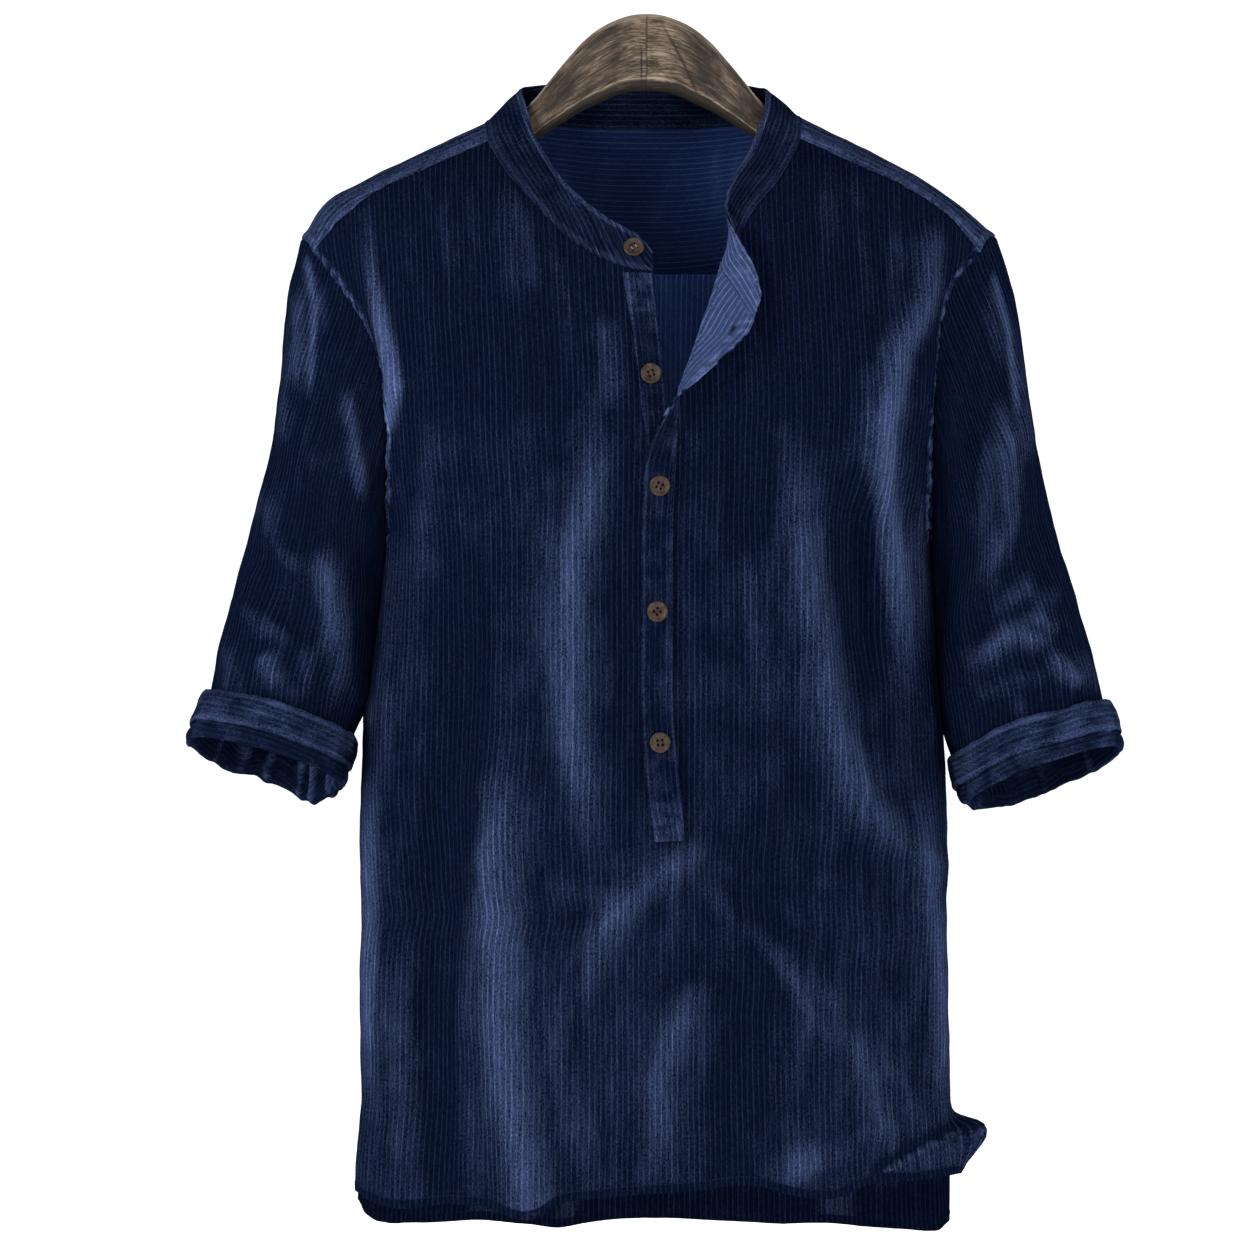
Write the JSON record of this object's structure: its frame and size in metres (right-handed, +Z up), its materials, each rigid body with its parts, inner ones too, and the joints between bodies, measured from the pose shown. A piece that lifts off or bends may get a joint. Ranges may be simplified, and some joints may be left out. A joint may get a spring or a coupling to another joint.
{
  "type": "henley shirt on a hanger",
  "caption": "Collarless pullover shirt with a band collar, a part-length buttoned placket and rolled sleeves, hung on a wooden hanger and open at neck, hem and cuffs.",
  "frame": {"origin": "the mouth of the hook's hole, at the top of the hanger in its middle", "axes": "+X to the right of a viewer who faces the front of the shirt, +Y from the front to the back, +Z up"},
  "size_m": [0.5923, 0.1824, 0.782],
  "materials": {
    "navy_pinstripe": "woven cotton and linen, matt, navy with fine light blue stripes",
    "navy_wrong_side": "the same cloth's paler wrong side, matt",
    "brown_horn": "brown horn effect, satin",
    "old_wood": "weathered grey-brown wood, matt"
  },
  "bodies": {
    "root": {"front_panel": "navy_pinstripe", "back_panel": "navy_pinstripe", "back_yoke": "navy_pinstripe", "sleeve_left": "navy_pinstripe", "sleeve_right": "navy_pinstripe", "cuff_left": "navy_pinstripe", "cuff_right": "navy_pinstripe", "collar_band": "navy_pinstripe", "under_placket": "navy_pinstripe", "over_placket": "navy_wrong_side", "button_1": "brown_horn", "button_2": "brown_horn", "button_3": "brown_horn", "button_4": "brown_horn", "button_5": "brown_horn", "hanger_left": "old_wood", "hanger_right": "old_wood"}
  },
  "joints": []
}
